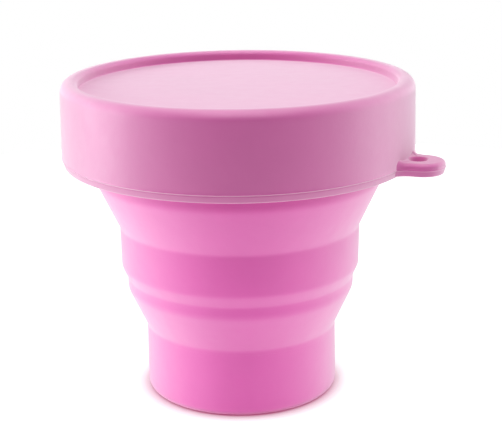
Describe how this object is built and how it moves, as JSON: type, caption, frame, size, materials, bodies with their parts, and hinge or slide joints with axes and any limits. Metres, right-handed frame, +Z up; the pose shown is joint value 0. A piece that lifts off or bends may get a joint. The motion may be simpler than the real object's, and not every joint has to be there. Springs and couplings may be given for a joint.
{
  "type": "collapsible travel cup",
  "caption": "Stepped drinking cup with soft folds that push flat, and a deep push-on lid with a hang loop.",
  "frame": {"origin": "centre of the base's underside, where the cup rests", "axes": "+Z up along the cup's axis, +X out through the lid's hang loop"},
  "size_m": [0.0971, 0.088, 0.0805],
  "materials": {
    "cup_silicone": "satin",
    "lid_silicone": "satin"
  },
  "bodies": {
    "base": {"base_floor": "cup_silicone", "base_wall": "cup_silicone", "lower_fold": "cup_silicone"},
    "middle": {"middle_tier": "cup_silicone", "upper_fold": "cup_silicone"},
    "top": {"top_tier": "cup_silicone", "drinking_rim": "cup_silicone"},
    "lid": {"lid_skirt": "lid_silicone", "lid_crown": "lid_silicone", "lid_panel": "lid_silicone", "lid_grip_bead": "lid_silicone", "hang_loop": "lid_silicone"}
  },
  "joints": [
    {"name": "lower_fold_collapse", "type": "slide", "parent": "base", "child": "middle", "axis": [0, 0, -1], "range_m": [0, 0.0202], "deforming": ["lower_fold"]},
    {"name": "upper_fold_collapse", "type": "slide", "parent": "middle", "child": "top", "axis": [0, 0, -1], "range_m": [0, 0.0246], "deforming": ["upper_fold"]},
    {"name": "lid_lift", "type": "slide", "parent": "top", "child": "lid", "axis": [0, 0, 1], "range_m": [0, 0.04]}
  ]
}
